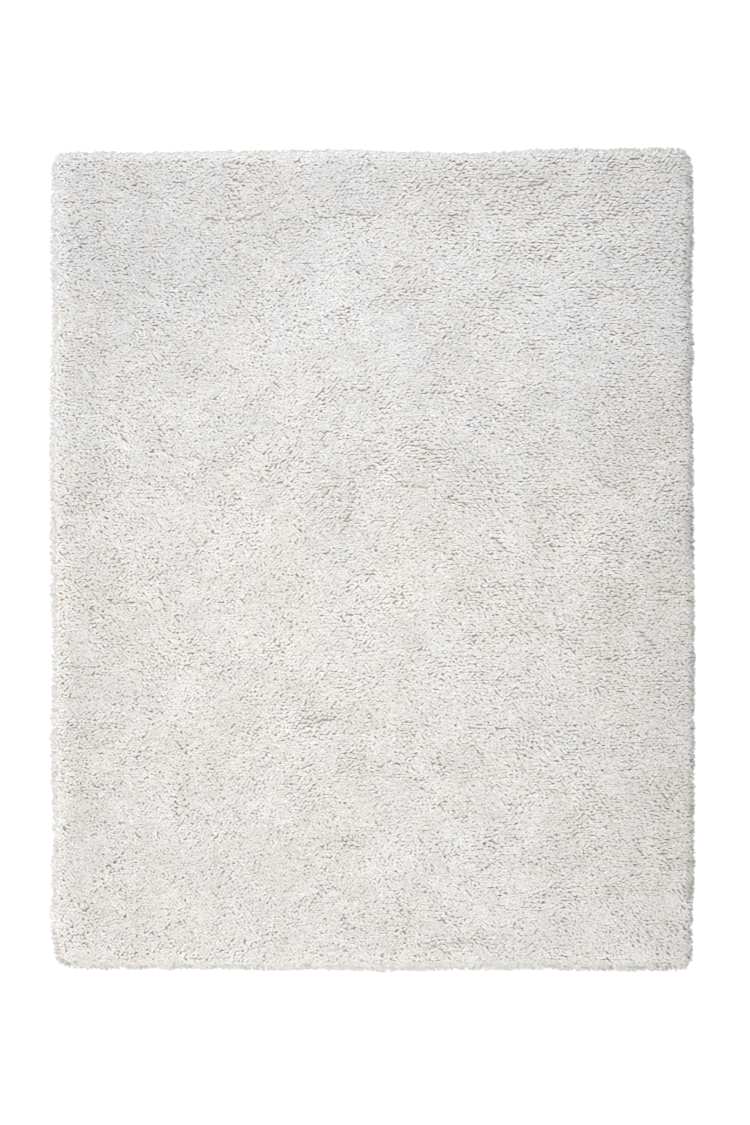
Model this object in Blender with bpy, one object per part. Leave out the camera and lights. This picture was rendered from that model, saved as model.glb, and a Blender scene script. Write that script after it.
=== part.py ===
"""Shag rug: one cut-pile rug lying flat, in metres, +Z up.

The rug is one solid. It reaches as far as the tips of the pile do, on top and all
round, and lies on a flat underside at z = 0. The long side runs along Y. The origin
is on the underside, at the middle of the overall size.

The outline is a rectangle with a rounded corner at each end of each side, drawn in
a little along the sides by the short tables below. The top is nearly level, with the
soft troughs and ridges that the pile is combed into.
"""

import math

import bmesh
import bpy
import numpy as np

# Driving dimensions, in metres.
WIDTH = 2.390  # overall, along X, from pile tip to pile tip
LENGTH = 3.050  # overall, along Y, from pile tip to pile tip
HEIGHT = 0.038  # underside of the backing to the tips of the pile, where the top is level
GRID_PITCH = 0.070  # largest spacing of the lines of the top surface
EDGE_LINES = (0.012, 0.028, 0.048)  # the first lines in from each side, closer for the corners
MM = 0.001

# Corner radii of the outline.
CORNER_RADII = {
    ("left", "top"): 0.036,
    ("right", "top"): 0.052,
    ("right", "bottom"): 0.042,
    ("left", "bottom"): 0.058,
}

# How far each side is drawn in from the overall size. Columns: place along the side
# from its middle, in metres, and the distance drawn in, in millimetres.
DRAWN_IN = {
    "left": (
        (-1.50, 17.0),
        (-1.36, 4.0),
        (-1.02, 12.0),
        (-0.75, 4.0),
        (-0.31, 9.0),
        (0.14, 1.0),
        (0.52, 0.0),
        (0.88, 9.0),
        (1.25, 4.0),
        (1.48, 8.0),
    ),
    "right": (
        (-1.48, 9.0),
        (-1.05, 1.0),
        (-0.30, 0.0),
        (0.44, 4.0),
        (0.60, 12.0),
        (0.76, 5.0),
        (1.00, 9.0),
        (1.20, 4.0),
        (1.46, 8.0),
    ),
    "top": (
        (-1.16, 14.0),
        (-0.86, 16.0),
        (-0.42, 10.0),
        (-0.12, 5.0),
        (0.18, 14.0),
        (0.36, 17.0),
        (0.48, 14.0),
        (0.64, 4.0),
        (1.06, 0.0),
        (1.16, 2.0),
    ),
    "bottom": (
        (-1.17, 14.0),
        (-1.01, 8.0),
        (-0.58, 8.0),
        (-0.40, 3.0),
        (-0.25, 6.0),
        (0.04, 0.0),
        (0.48, 6.0),
        (0.64, 8.0),
        (0.78, 1.0),
        (1.12, 2.0),
    ),
}

# The pile's rim, from the top surface round to the underside. Columns: distance in
# from the outline, in millimetres, and height as a share of the top's height there.
RIM = (
    (24.0, 1.00),
    (14.0, 0.95),
    (6.0, 0.83),
    (1.5, 0.62),
    (0.0, 0.36),
    (2.0, 0.12),
    (8.0, 0.00),
)

# Soft troughs (-) and ridges (+) of the pile. Columns: the two ends of its middle line
# as x, y, x, y, and its half width, all in metres, and its rise in millimetres.
RELIEF = (
    (0.21, 1.23, 0.99, 1.18, 0.050, 2.2),  # ridge across the right of the top end
    (0.10, 1.34, 1.05, 1.30, 0.055, -3.0),  # trough above it
    (-1.10, 1.41, -0.88, 1.32, 0.080, -3.0),  # hollow at the top left corner
    (0.05, 1.38, 0.07, 0.20, 0.070, 1.8),  # long ridge down the middle
    (0.06, 0.00, 0.03, -0.52, 0.070, 1.4),  # its lower half
    (-0.86, 0.62, -0.88, 0.32, 0.060, 1.6),  # short ridge on the left
    (-1.13, 0.96, -1.12, 0.74, 0.060, -2.0),  # hollow at the left side
    (-0.42, 0.38, -0.34, 0.32, 0.055, -3.0),  # cleft left of the middle
    (-0.14, 0.13, -0.02, 0.28, 0.060, -2.6),  # cleft at the middle
    (-1.10, -0.31, 0.10, -0.36, 0.060, -1.8),  # trough across the left half
    (-0.26, -0.60, -0.06, -0.65, 0.075, -2.4),  # hollow below the middle
    (0.47, 0.44, 0.48, -0.50, 0.060, -1.6),  # trough down the right half
    (0.82, 0.70, 0.80, 0.00, 0.070, 1.8),  # ridge beside it
    (-1.00, -1.14, -0.84, -1.27, 0.090, 1.8),  # swell at the bottom left
    (0.20, -1.26, 0.47, -1.12, 0.080, -2.4),  # hollow at the bottom
)


def grid_lines(size):
    """Places of the grid's lines across a size, from 0 to size: close near the sides."""
    first = (0.0,) + EDGE_LINES
    inner = size - 2 * EDGE_LINES[-1]
    steps = math.ceil(inner / GRID_PITCH)
    middle = [EDGE_LINES[-1] + inner * step / steps for step in range(1, steps)]
    return list(first) + middle + [size - place for place in reversed(first)]


def drawn_in(side, along):
    """How far the side stands in from the overall size, in metres, eased between rows."""
    rows = DRAWN_IN[side]
    if along <= rows[0][0]:
        return rows[0][1] * MM
    for (place, inset), (next_place, next_inset) in zip(rows, rows[1:]):
        if along <= next_place:
            share = (along - place) / (next_place - place)
            eased = share * share * (3 - 2 * share)
            return (inset + (next_inset - inset) * eased) * MM
    return rows[-1][1] * MM


def side_point(side, along):
    """A point of the outline away from the corners, and the direction in from it."""
    half_width = WIDTH / 2 - drawn_in(side, along)
    half_length = LENGTH / 2 - drawn_in(side, along)
    if side == "left":
        return (-half_width, along), (1.0, 0.0)
    if side == "right":
        return (half_width, along), (-1.0, 0.0)
    if side == "top":
        return (along, half_length), (0.0, -1.0)
    return (along, -half_length), (0.0, 1.0)


def corner_point(across, up, share):
    """A point on a corner's arc: share runs from 0 at the top or bottom side to 1."""
    radius = CORNER_RADII[across, up]
    sign_x = 1.0 if across == "right" else -1.0
    sign_y = 1.0 if up == "top" else -1.0
    centre_x = sign_x * (WIDTH / 2 - drawn_in(across, sign_y * (LENGTH / 2 - radius)) - radius)
    centre_y = sign_y * (LENGTH / 2 - drawn_in(up, sign_x * (WIDTH / 2 - radius)) - radius)
    turn = (1 - share) * math.pi / 2
    out_x = sign_x * math.cos(turn)
    out_y = sign_y * math.sin(turn)
    return (centre_x + radius * out_x, centre_y + radius * out_y), (-out_x, -out_y)


def outline_point(x, y):
    """The outline's point for a point of the plain rectangle, and the direction in from it.

    Near a corner, the rectangle's two sides are wrapped onto the corner's arc. Elsewhere a
    side is shortened as much as the sides that it runs to are drawn in.
    """
    across = "right" if x > 0 else "left"
    up = "top" if y > 0 else "bottom"
    radius = CORNER_RADII[across, up]
    from_side = WIDTH / 2 - abs(x)
    from_end = LENGTH / 2 - abs(y)
    if from_side < radius and from_end < radius:
        share = 0.5 + 0.5 * (from_end - from_side) / radius
        return corner_point(across, up, share)
    if from_side < from_end:
        shortened = 1 - drawn_in(up, x) / (LENGTH / 2)
        return side_point(across, y * shortened)
    shortened = 1 - drawn_in(across, y) / (WIDTH / 2)
    return side_point(up, x * shortened)


def rise(x, y):
    """Height of the troughs and ridges at a point, in metres."""
    total = 0.0
    for x0, y0, x1, y1, half_width, height in RELIEF:
        run_x, run_y = x1 - x0, y1 - y0
        share = ((x - x0) * run_x + (y - y0) * run_y) / (run_x**2 + run_y**2)
        share = min(max(share, 0.0), 1.0)
        distance = math.hypot(x - x0 - share * run_x, y - y0 - share * run_y)
        total += height * MM * math.exp(-((distance / half_width) ** 2))
    return total


def rim_rings(columns, rows):
    """The rim's rings of points, from the top surface's border to the underside.

    They start at the bottom left and run anticlockwise, seen from above.
    """
    border = [(x, -LENGTH / 2) for x in columns[:-1]]
    border += [(WIDTH / 2, y) for y in rows[:-1]]
    border += [(x, LENGTH / 2) for x in columns[:0:-1]]
    border += [(-WIDTH / 2, y) for y in rows[:0:-1]]
    rings = []
    for inset, height_share in RIM:
        ring = []
        for x, y in border:
            (edge_x, edge_y), (in_x, in_y) = outline_point(x, y)
            place_x = edge_x + in_x * inset * MM
            place_y = edge_y + in_y * inset * MM
            top_x = edge_x + in_x * RIM[0][0] * MM
            top_y = edge_y + in_y * RIM[0][0] * MM
            height = (HEIGHT + rise(top_x, top_y)) * height_share
            ring.append((place_x, place_y, height))
        rings.append(ring)
    return rings


def top_surface(columns, rows, border):
    """The top surface's points as an array [row, column, xyz], filled in from its border."""
    across = len(columns) - 1
    along = len(rows) - 1
    border = np.array(border)
    bottom = border[: across + 1]
    right = border[across : across + along + 1]
    top = border[across + along : 2 * across + along + 1][::-1]
    left = np.vstack([border[2 * across + along :], border[:1]])[::-1]
    u = (np.array(columns)[None, :, None] + WIDTH / 2) / WIDTH
    v = (np.array(rows)[:, None, None] + LENGTH / 2) / LENGTH
    between_ends = bottom[None] * (1 - v) + top[None] * v
    between_sides = left[:, None] * (1 - u) + right[:, None] * u
    corners = (
        (bottom[0] * (1 - u) + bottom[-1] * u) * (1 - v)
        + (top[0] * (1 - u) + top[-1] * u) * v
    )
    surface = between_ends + between_sides - corners
    for row in surface:
        for point in row:
            point[2] = HEIGHT + rise(point[0], point[1])
    return surface


def rug_mesh():
    """The rug's closed mesh: top surface, rim and flat underside."""
    columns = [place - WIDTH / 2 for place in grid_lines(WIDTH)]
    rows = [place - LENGTH / 2 for place in grid_lines(LENGTH)]
    rings = rim_rings(columns, rows)
    surface = top_surface(columns, rows, rings[0])
    outer = np.array([point for ring in rings for point in ring])
    centre = (outer.min(axis=0) + outer.max(axis=0)) / 2
    shift = np.array((centre[0], centre[1], 0.0))

    shape = bmesh.new()
    grid = [[shape.verts.new(point - shift) for point in row] for row in surface]
    for row, next_row in zip(grid, grid[1:]):
        for column in range(len(row) - 1):
            shape.faces.new((row[column], row[column + 1], next_row[column + 1], next_row[column]))

    upper = grid[0][:-1]
    upper += [row[-1] for row in grid[:-1]]
    upper += grid[-1][:0:-1]
    upper += [row[0] for row in grid[:0:-1]]
    for ring in rings[1:]:
        lower = [shape.verts.new(np.array(point) - shift) for point in ring]
        for here in range(len(ring)):
            after = (here + 1) % len(ring)
            shape.faces.new((upper[here], lower[here], lower[after], upper[after]))
        upper = lower
    shape.faces.new(reversed(upper))

    mesh = bpy.data.meshes.new("rug")
    shape.to_mesh(mesh)
    shape.free()
    mesh.shade_smooth()
    mesh.set_sharp_from_angle(angle=math.radians(60))
    return mesh


def pile_material():
    """Ivory cut pile: matt fabric."""
    material = bpy.data.materials.new("ivory pile")
    material.use_nodes = True
    shader = material.node_tree.nodes["Principled BSDF"]
    shader.inputs["Base Color"].default_value = (0.76, 0.74, 0.70, 1.0)
    shader.inputs["Roughness"].default_value = 0.95
    shader.inputs["Metallic"].default_value = 0.0
    return material


def clear_scene():
    for obj in list(bpy.data.objects):
        bpy.data.objects.remove(obj, do_unlink=True)


def main():
    clear_scene()
    mesh = rug_mesh()
    mesh.materials.append(pile_material())
    rug = bpy.data.objects.new("rug", mesh)
    bpy.context.scene.collection.objects.link(rug)


main()
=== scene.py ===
"""The looks of the shag rug: its woven backing, the dense foot of its pile, and the
yarn ends that lie over one another on top and fan out round the rim.

Everything is in metres, in the frame of the CAD model, +Z up. The outline and the
height of the pile are read off the CAD solid, so the yarn reaches as far as it does.
"""

import math

import bpy
import numpy as np
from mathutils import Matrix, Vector
from mathutils.bvhtree import BVHTree
from mathutils.kdtree import KDTree


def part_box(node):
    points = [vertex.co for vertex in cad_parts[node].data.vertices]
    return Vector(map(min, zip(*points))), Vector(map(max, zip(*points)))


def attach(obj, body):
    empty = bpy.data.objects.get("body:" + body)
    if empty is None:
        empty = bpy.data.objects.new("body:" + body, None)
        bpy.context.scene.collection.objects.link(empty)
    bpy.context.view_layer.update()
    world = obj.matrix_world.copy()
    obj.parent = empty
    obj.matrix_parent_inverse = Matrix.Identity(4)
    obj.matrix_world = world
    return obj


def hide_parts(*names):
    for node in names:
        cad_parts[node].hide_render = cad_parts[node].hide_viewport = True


MM = 0.001
SEED = 11

# The photograph's frame: how much of the floor it takes in from top to bottom, and
# where its middle is, seen from straight above.
VIEW_LENGTH = 4.175
VIEW_MIDDLE = (0.0047, -0.0130)
LENS_MM = 100.0
SENSOR_MM = 36.0

# The studio: a pale floor that glows a little, a broad window and a long lamp overhead.
FLOOR_HALF = 200.0
FLOOR_GLOW = 0.8
WINDOW_STRENGTH = 1.25
WINDOW_ANGLE = math.radians(36)
WINDOW_DIRECTION = (-0.85, 0.5, 0.95)
OVERHEAD_SIZE = (1.2, 6.0)
OVERHEAD_PLACE = (-0.39, -0.2, 2.9)
OVERHEAD_WATTS = 56.0
SKY_STRENGTH = 0.565

# The rug's build.
UNDERSIDE_INSET = 0.008  # of the CAD solid's underside from its widest outline
BACKING_THICKNESS = 0.003
BACKING_CELL = 0.05
THREAD_PITCH = 0.0050  # of the backing cloth
BACKING_INSET = 0.026  # of the backing's edge from the tips of the pile
FOOT_DEPTH = 0.013  # from the tips of the pile down to the foot's top
FOOT_CELL = 0.030
# The foot's rim from its top down: how far in, and the share of its height.
FOOT_RIM = ((0.040, 1.0), (0.030, 0.85), (0.026, 0.5), (0.026, 0.12), (0.030, 0.003))
FOOT_BUMPS = (0.0020, 0.0015)  # fine and broad
OUTLINE_STEP = 0.010
CAD_GRID_STEP = 0.03  # of the grid on which the CAD top's heights are read
CAD_TOP_SPAN = 0.006  # how far below its highest point the CAD top still counts as top

# How the tips of the pile fall away at the rim: how far in from their widest reach, and
# their height as a share of the pile's.
SHOULDER = ((0.0, 0.35), (0.003, 0.52), (0.008, 0.72), (0.015, 0.88), (0.028, 1.0))
SHOULDER_WIDTHS = (1.0, 1.0, 1.6, 1.0)  # left, right, bottom, top: how much wider than that

# Four values are for the left, right, bottom and top. A pair is for closed or combed pile,
# and what is added to that where the pile parts or is ruffled. Turns are in degrees.

# Yarn ends lie together in locks, and locks in tufts where the pile parts. Their sizes
# are their spacing, along the way they lie and across it.
LOCK_SIZE = (0.0148, 0.0095)
LOCK_INSET = (0.013, 0.017, 0.016, 0.011)  # of the outermost locks
LOCK_WARP = 0.005  # how far their rows waver
LOCK_SPREAD = (11, 9)  # of their directions
LOCK_DROP = (0.00015, 0.00125)  # the most that a whole lock lies lower
LOCK_TONE = 0.06  # spread of their tones
TUFT_SIZE = (0.0240, 0.0150)
TUFT_WARP = 0.006
TUFT_DROP = (0.0002, 0.0016)  # from a tuft's middle to its edge
TUFT_PULL = 0.28  # of locks towards their tuft's middle, as a share of the way
TUFT_LEAN = 14  # of the locks at a tuft's sides
STRETCH = (0.80, 0.36)  # of the spacing along the lie: ruffled, and what combing adds
PACK_STEPS = 7
ROW_WAVES = (0.09, 0.07)  # sizes of the rows' wavering
ROOT_SHARE = 0.45  # of a lock's or yarn end's length that is behind its middle
ROOT_INSET = 0.006  # of roots from the pile's widest reach
ROOT_DEPTH = 0.003  # of roots below the foot's top
ROOT_BEHIND = 0.004  # the least that a root is behind the middle
LOWEST = 0.002  # as low as yarn is laid

# The flat bodies of the locks. Their length and width are in shares of the locks' spacing.
BODY_LENGTH = 2.0
BODY_WIDTH = (1.50, -0.40)
BODY_HEIGHT = 0.0025
BODY_SINK = 0.65  # of its height, below the pile's top
BODY_DROP = 0.0016  # below the loose yarn ends
BODY_ROLL = 12
BODY_BEND = (5, 12)
BODY_TONE = 0.45

# The loose yarn ends on each lock, side by side in lanes.
STRANDS = 3
YARN_LENGTH = 0.0195
YARN_WIDTH = 0.0032
YARN_HEIGHT = 0.0030
YARN_SINK = 0.3
YARN_RISE = 0.004  # of their roots above the bodies'
YARN_ROLL = 33
YARN_SPREAD = (16, 12)
YARN_BEND = (8, 16)
YARN_DROP = (0.0005, 0.0015)
YARN_TONE = (0.55, 0.24)  # middle value and spread
LANE_REACH = 0.42  # of the outermost lanes from the middle, in shares of a lock's width
LANE_SPREAD = (1.25, -0.25)
LANE_DROP = 0.0014  # of the outer lanes where the pile parts
PLACE_SPREAD = 0.36  # along the lock
TIP_DROOP = (0.0008, 0.0026)
TIP_PULL = 0.25  # of their tips towards the lock's middle line

# The two edges of a yarn end at its middle: across it, above its path, and their normals.
SECTION = ((-0.5, -0.35, -0.70, 0.71), (0.5, -0.35, 0.70, 0.71))
# A yarn end's corners are its root, those two edges and its tip: how far along and around
# it each is, and the faces between them. It is flat above and has a keel below.
CORNER_ALONG = (0.0, 0.5, 0.5, 1.0)
CORNER_AROUND = (0.5, 0.0, 1.0, 0.5)
CORNER_FACES = ((0, 1, 2), (1, 3, 2), (0, 2, 3), (0, 3, 1))
ONWARD = 0.8  # how much a yarn end's section turns with its tip half, not its root half

# The yarn's ivory comes in so many tones, dark to pale, and warmths, cool to warm.
TONES = 12
WARMTHS = 4
# How warm it is: by the distance from the middle towards the bottom end.
WARMTH = ((-1.1, 0.19), (0.15, 0.61), (0.8, 0.66), (1.5, 0.61))
WARMTH_SPREAD = 0.06
# The noises that it and the locks' tones vary by, and how much.
WARM_PATCHES = (("broad warmth", 0.22), ("warmth", 0.19), ("fine warmth", 0.25))
TONE_PATCHES = (("broad tone", 0.06), ("tone", 0.10))
# Broad areas of painted light and shade, and painted shade along the sides: middle, reach and tone.
PATCHES = (
    (0.00, 1.46, 1.60, 0.16, -0.09),
    (-0.95, 1.10, 0.50, 0.40, -0.14),
    (0.62, 1.05, 0.35, 0.28, 0.15),
    (0.42, 1.36, 0.25, 0.10, 0.08),
    (0.60, 1.20, 0.45, 0.06, 0.14),
    (0.06, 0.50, 0.05, 0.55, 0.12),
    (-0.16, 0.98, 0.12, 0.12, 0.12),
    (0.06, -0.08, 0.08, 0.14, 0.14),
    (0.78, 0.14, 0.07, 0.18, 0.14),
    (-0.93, -1.24, 0.16, 0.16, 0.12),
    (-1.08, 0.00, 0.10, 2.50, -0.10),
    (1.18, 0.00, 0.15, 2.50, -0.20),
)
# Painted light: how much paler the yarn is made at the ends and sides, for light coming through it.
RIM_PAINTED_LIGHT = (0.9, 0.3, 0.95, 0.75)
PAINTED_LIGHT_REACH = 0.026
# Painted shade of hollows in the shaded side, just in from its rim: how far in, over what reach, and
# tone.
HOLLOW_INSET = 0.020
HOLLOW_REACH = 0.022
HOLLOW_SHADE = (0.0, -1.5, 0.0, 0.0)

# The top's locks near the rim turn outward and have their shading turned to face up.
RIM_TURN = 38  # the most that they turn
TURN_START = 0.026  # how far in they begin to
TURN_REACH = 0.020  # and over what reach
RIM_LIFT = (0.3, 0.1, 0.9, 0.3)  # 0 as it is, 1 straight up
LIFT_START = 0.0336  # likewise
LIFT_REACH = 0.024

# Yarn ends round the rim: their spacing along it, and how far they slide along it on their
# way out (with the way the pile lies, at random, and clump by clump).
RIM_PITCH = 0.00027
RIM_WIDTH = 0.0016
RIM_SLIDE = (0.6, 0.32, 0.30)
# How far in their tips lie, by their share of the pile's height, and how much further out
# they stand than that: at the sides, and what is added to it at the corners (top left, top
# right, bottom left, bottom right). Then its spread, and how far the rim swells.
RIM_PROFILE = ((0.002, 0.0), (0.0, 0.25), (0.002, 0.5), (0.007, 0.75), (0.015, 1.0))
RIM_REACH = (0.0065, -0.010, 0.000, -0.003)
RIM_CORNERS = (0.004, -0.003, 0.006, 0.000)
RIM_SPRAY = (0.011, 0.011, 0.012, 0.010)
RIM_SWELL = (0.0020, 0.0028, 0.0018, 0.0025)
RIM_TONE = (0.4, 0.17)  # middle value and spread
RIM_ROOTS = (0.022, 0.028)  # how far in the roots are: the least and the most
RIM_ROOTS_IN = 0.008  # and how much further in for the topmost
RIM_ROOT_LOW = 0.001  # height of the lowest roots
RIM_ROOT_DEPTH = 0.004  # of the topmost roots below the foot's top
RIM_CREST_LOW = 0.005  # height of the lowest crests
RIM_CREST_DROP = 0.003  # of the topmost crests below the pile's top
RIM_CREST_PLACE = (0.64, 0.48)  # the shares of the way out and of the slide that are made there
RIM_FALL = (0.004, 0.007)  # from crest to tip: for the lowest, and what is added for the topmost

# The smooth noises: the size of their features, and a seed for each.
NOISES = {
    "broad lean": (0.10, 1),
    "fine lean": (0.036, 2),
    "parting": (0.07, 3),
    "broad tone": (0.2, 4),
    "tone": (0.09, 13),
    "cleft x": (0.025, 5),
    "cleft y": (0.025, 6),
    "foot": (0.018, 7),
    "broad foot": (0.05, 8),
    "swell": (0.055, 12),
    "hollows": (0.06, 14),
    "clumps": (0.016, 15),
    "broad warmth": (0.20, 20),
    "warmth": (0.06, 21),
    "fine warmth": (0.025, 22),
}
LOCK_SEED = SEED + 20
TUFT_SEED = SEED + 30

# How the pile lies: how far the areas below reach, how their leans are scaled and shifted,
# and how unevenly it leans and parts.
LIE_REACH = 0.20
LEAN_SCALE = 0.6
LEAN_SHIFT = -2
BROAD_LEAN = (4, 8)
FINE_LEAN = (10, 12)
UNEVEN_PARTING = 0.35
MOST_PARTED = 1.2
# Its areas: middle (x, y), which way the locks lie from +X, how combed they are (0 ruffled,
# 1 all one way) and how far they part (0 to 1).
LIE = (
    (-0.95, 1.30, -5, 0.60, 0.35),
    (-0.75, 1.05, -12, 0.65, 0.35),
    (-0.30, 1.35, 0, 0.50, 0.45),
    (-0.20, 0.95, 8, 0.45, 0.30),
    (0.15, 1.40, 14, 0.55, 0.60),
    (0.10, 1.05, 14, 0.60, 0.45),
    (0.60, 1.38, 9, 0.68, 0.75),
    (1.00, 1.35, 10, 0.60, 0.75),
    (0.80, 1.00, 6, 0.82, 0.55),
    (-0.95, 0.65, -11, 0.50, 0.40),
    (-0.55, 0.65, 5, 0.45, 0.25),
    (-0.20, 0.55, 25, 0.50, 0.30),
    (0.05, 0.40, 17, 0.55, 0.55),
    (0.30, 0.33, -20, 0.65, 0.60),
    (0.60, 0.60, 4, 0.60, 0.45),
    (0.95, 0.45, 1, 0.72, 0.52),
    (-1.00, 0.33, -22, 0.45, 0.35),
    (-0.60, 0.10, 12, 0.30, 0.35),
    (0.02, 0.05, 20, 0.50, 0.40),
    (0.40, 0.05, -8, 0.55, 0.45),
    (1.00, -0.10, 2, 0.60, 0.55),
    (-0.80, -0.25, -13, 0.40, 0.45),
    (-0.45, -0.25, 22, 0.30, 0.25),
    (0.00, -0.25, 14, 0.45, 0.40),
    (0.50, -0.25, -14, 0.50, 0.50),
    (-1.00, -0.65, 17, 0.50, 0.30),
    (-0.60, -0.65, 8, 0.35, 0.25),
    (-0.22, -0.62, 28, 0.50, 0.50),
    (0.15, -0.70, -8, 0.45, 0.30),
    (0.55, -0.70, -15, 0.50, 0.45),
    (1.00, -0.70, -3, 0.58, 0.48),
    (-0.90, -1.00, 2, 0.25, 0.10),
    (-0.50, -1.15, 25, 0.15, 0.10),
    (-0.80, -1.42, 28, 0.25, 0.05),
    (-0.20, -1.30, 25, 0.30, 0.10),
    (0.05, -1.10, 0, 0.25, 0.35),
    (0.30, -1.42, -3, 0.40, 0.40),
    (0.60, -1.10, 5, 0.50, 0.45),
    (1.02, -1.05, -6, 0.60, 0.55),
    (1.02, -1.42, -45, 0.60, 0.40),
)

# Clefts, where the pile parts and shows its foot.
CLEFT_WIDTH = 0.005
CLEFT_DEPTH = 0.0022
CLEFT_WARP = 0.006  # how far they waver
CLEFT_PUSH = 0.0012  # of the yarn at either side away from them
PUSH_WIDTH = 1.6  # how wide that is, in shares of their width
PARTING_WIDTH = 2.0  # and how wide they part the locks
# The two ends of each (x, y, x, y).
CLEFTS = (
    (-0.08, 0.32, -0.08, 0.22), (-0.08, 0.20, -0.11, 0.09), (-0.03, 0.33, 0.04, 0.36),
    (-0.19, 0.47, -0.18, 0.41), (-0.03, 0.45, 0.04, 0.47), (0.09, 0.45, 0.16, 0.43),
    (0.19, 0.42, 0.25, 0.36), (0.09, 0.28, 0.19, 0.26), (0.27, 0.23, 0.38, 0.19),
    (-0.41, 0.26, -0.34, 0.28), (-0.37, 0.37, -0.39, 0.32), (-0.71, 0.72, -0.70, 0.67),
    (-0.64, 0.72, -0.67, 0.67), (0.65, 0.23, 0.69, 0.26), (0.45, 0.07, 0.50, 0.03),
    (0.84, 0.29, 0.95, 0.23), (0.67, -0.20, 0.70, -0.29), (-0.90, -0.41, -0.77, -0.41),
    (-0.75, -0.39, -0.64, -0.41), (-1.13, -0.40, -1.01, -0.40), (-1.00, -0.62, -0.92, -0.62),
    (-0.98, -0.16, -0.88, -0.16), (-0.52, -0.93, -0.48, -0.99), (-0.27, -0.61, -0.14, -0.59),
    (0.36, -0.67, 0.40, -0.73), (-0.11, -1.04, -0.06, -1.08), (-0.21, -1.22, -0.15, -1.22),
    (0.15, -1.21, 0.21, -1.22), (0.21, -1.44, 0.38, -1.41), (-0.77, -1.44, -0.64, -1.49),
    (-0.11, -1.36, -0.02, -1.38), (-1.05, 1.32, -0.95, 1.33), (-0.84, 1.35, -0.79, 1.34),
    (-0.62, 1.26, -0.52, 1.25), (-0.51, 1.25, -0.41, 1.28), (-0.56, 1.46, -0.50, 1.43),
    (-0.12, 1.28, 0.02, 1.27), (0.12, 1.27, 0.17, 1.28), (0.28, 1.27, 0.34, 1.28),
    (0.40, 1.41, 0.51, 1.42), (0.54, 1.37, 0.64, 1.40), (0.69, 1.34, 0.76, 1.35),
    (0.56, 1.23, 0.64, 1.28), (0.80, 1.24, 0.92, 1.28), (-1.16, 1.10, -1.11, 1.08),
    (-0.85, 0.98, -0.79, 0.97), (0.08, 1.08, 0.14, 1.08), (0.84, 1.01, 0.89, 1.00),
    (0.99, -0.27, 1.06, -0.35), (1.06, -0.11, 1.13, -0.13),
)

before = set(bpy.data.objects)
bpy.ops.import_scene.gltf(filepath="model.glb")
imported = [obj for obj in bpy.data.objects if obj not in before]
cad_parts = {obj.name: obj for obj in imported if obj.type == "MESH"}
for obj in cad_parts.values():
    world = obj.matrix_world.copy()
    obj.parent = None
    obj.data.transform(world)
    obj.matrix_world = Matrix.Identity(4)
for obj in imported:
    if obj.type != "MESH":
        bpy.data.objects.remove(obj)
scene = bpy.context.scene
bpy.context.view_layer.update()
rng = np.random.default_rng(SEED)


# ---- helpers


def between(grid, row, column, v, u):
    """A grid's values at arrays of places, v and u of the way to the next row and column."""
    low = grid[row, column] * (1 - u) + grid[row, column + 1] * u
    high = grid[row + 1, column] * (1 - u) + grid[row + 1, column + 1] * u
    return low * (1 - v) + high * v


def smooth_noise(x, y, size, seed):
    """Smooth noise from -1 to 1 with features of about size, at arrays of points."""
    cells = 512
    lattice = np.random.default_rng(seed).uniform(-1.0, 1.0, (cells, cells))
    lattice = np.pad(lattice, (0, 1), "wrap")
    u = x / size + 200.5
    v = y / size + 200.5
    column = np.floor(u).astype(int)
    row = np.floor(v).astype(int)
    u = u - column
    v = v - row
    u = u * u * (3 - 2 * u)
    v = v * v * (3 - 2 * v)
    return between(lattice, row % cells, column % cells, v, u)


def noise_at(name, x, y):
    """One of the named noises, at arrays of points."""
    size, seed = NOISES[name]
    return smooth_noise(x, y, size, SEED + seed)


def unit(vectors):
    return vectors / np.maximum(np.linalg.norm(vectors, axis=-1, keepdims=True), 1e-9)


def toward(angle):
    """The directions [n, 2] at angles."""
    return np.column_stack([np.cos(angle), np.sin(angle)])


def turned(x, y, angle):
    """Steps or axes x and y, as those along and across the directions at angles."""
    cosine, sine = np.cos(angle), np.sin(angle)
    return x * cosine + y * sine, y * cosine - x * sine


def plus(pair, share):
    """The first of a pair of values plus so much of the second."""
    return pair[0] + pair[1] * share


def by_side(outward, values):
    """The value for each side, left, right, bottom and top, at places that face outward."""
    left, right, bottom, top = values
    x, y = outward.T
    return np.where(x < 0, left, right) * x**2 + np.where(y < 0, bottom, top) * y**2


def evenly_spaced(line, count):
    """Points at even distances along a line [n, 2], from its start to just before its end."""
    along = np.r_[0.0, np.cumsum(np.linalg.norm(np.diff(line, axis=0), axis=1))]
    places = np.arange(count) * along[-1] / count
    return np.column_stack([np.interp(places, along, line[:, axis]) for axis in (0, 1)])


def new_object(name, mesh, material):
    """An object of a mesh in one material, put in the scene."""
    mesh.materials.append(material)
    made = bpy.data.objects.new(name, mesh)
    scene.collection.objects.link(made)
    return made


# ---- the frame's shape


def cad_outline():
    """The CAD underside's outline, anticlockwise and evenly spaced, and its outward normals."""
    points = np.array([v.co[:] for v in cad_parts["rug"].data.vertices])
    under = points[points[:, 2] < 0.1 * MM][:, :2]
    under = under[np.argsort(np.arctan2(under[:, 1], under[:, 0]))]
    apart = np.linalg.norm(under - np.roll(under, 1, axis=0), axis=1) > 0.1 * MM
    under = under[apart]
    closed = np.vstack([under, under[:1]])
    length = np.linalg.norm(np.diff(closed, axis=0), axis=1).sum()
    outline = evenly_spaced(closed, int(length / OUTLINE_STEP))
    for _ in range(2):
        outline = (np.roll(outline, 1, axis=0) + 2 * outline + np.roll(outline, -1, axis=0)) / 4
    tangent = unit(np.roll(outline, -2, axis=0) - np.roll(outline, 2, axis=0))
    return outline, np.column_stack([tangent[:, 1], -tangent[:, 0]])


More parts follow.
